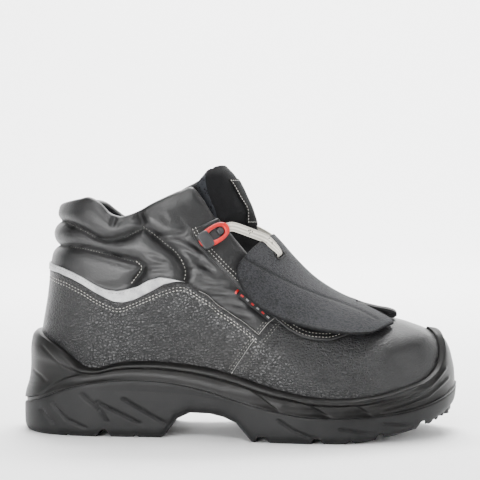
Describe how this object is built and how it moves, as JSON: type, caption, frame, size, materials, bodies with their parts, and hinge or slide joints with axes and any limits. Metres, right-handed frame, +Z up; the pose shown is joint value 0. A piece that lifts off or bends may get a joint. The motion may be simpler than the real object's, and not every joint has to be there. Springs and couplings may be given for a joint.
{
  "type": "metatarsal guard boot",
  "caption": "Black ankle-high work boot with a padded collar, a moulded cup sole with heel and toe bumpers, and a grey guard plate over the instep.",
  "frame": {"origin": "on the floor under the middle of the heel, 48 mm in front of the sole's back", "axes": "+X towards the toe, +Y towards the wearer's left (the medial side of this right boot), +Z up"},
  "size_m": [0.3107, 0.1125, 0.1902],
  "materials": {
    "leather": "pebbled black leather, satin",
    "midsole": "moulded black, satin",
    "outsole": "moulded black, matt",
    "insole_cloth": "felted dark grey",
    "tongue_cloth": "smooth black padded cloth",
    "label_cloth": "fine black weave",
    "guard": "granular dark grey",
    "webbing": "black woven tape",
    "reflective": "silver reflective cloth",
    "hook_dark": "dark grey, satin",
    "hook_red": "red, glossy",
    "lace": "cream woven with dark flecks"
  },
  "bodies": {
    "root": {"upper": "leather", "eyestay": "leather", "midsole": "midsole", "outsole": "outsole", "insole": "insole_cloth", "tongue": "tongue_cloth", "tongue_label": "label_cloth", "guard_shell": "guard", "guard_lining": "webbing", "guard_strap": "webbing", "reflective_trim": "reflective", "hook_base_lateral": "hook_dark", "hook_base_medial": "hook_dark", "hook_loop_lateral": "hook_red", "hook_loop_medial": "hook_red", "lace_lateral": "lace", "lace_medial": "lace", "lace_bars": "lace"}
  },
  "joints": []
}
